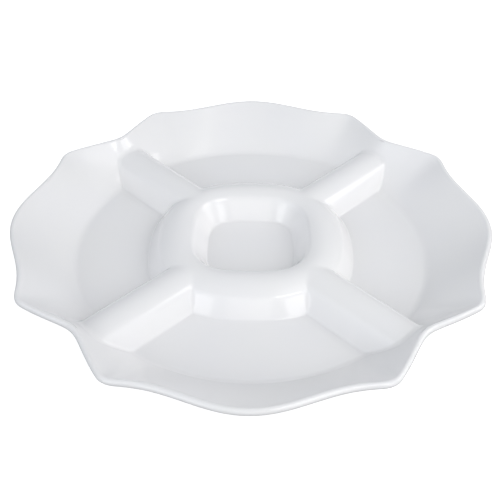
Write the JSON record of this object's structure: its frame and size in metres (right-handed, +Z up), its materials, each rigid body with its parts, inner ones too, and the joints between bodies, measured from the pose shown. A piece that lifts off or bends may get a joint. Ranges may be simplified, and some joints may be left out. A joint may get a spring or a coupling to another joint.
{
  "type": "chip and dip server",
  "caption": "Round white serving tray with a scalloped rim, a raised ring round a central dip well, and ribs that part the dish into chip compartments.",
  "frame": {"origin": "under the middle of the tray, on the plane that its foot stands on", "axes": "+Z up, from the foot to the rim; +X and +Y each point at the middle of a lobe of the rim, and the ribs run along the diagonals between them; the picture looks along +Y, with +X to its right"},
  "size_m": [0.4, 0.4, 0.0374],
  "materials": {
    "melamine": "gloss"
  },
  "bodies": {
    "root": {"serving_tray": "melamine"}
  },
  "joints": []
}
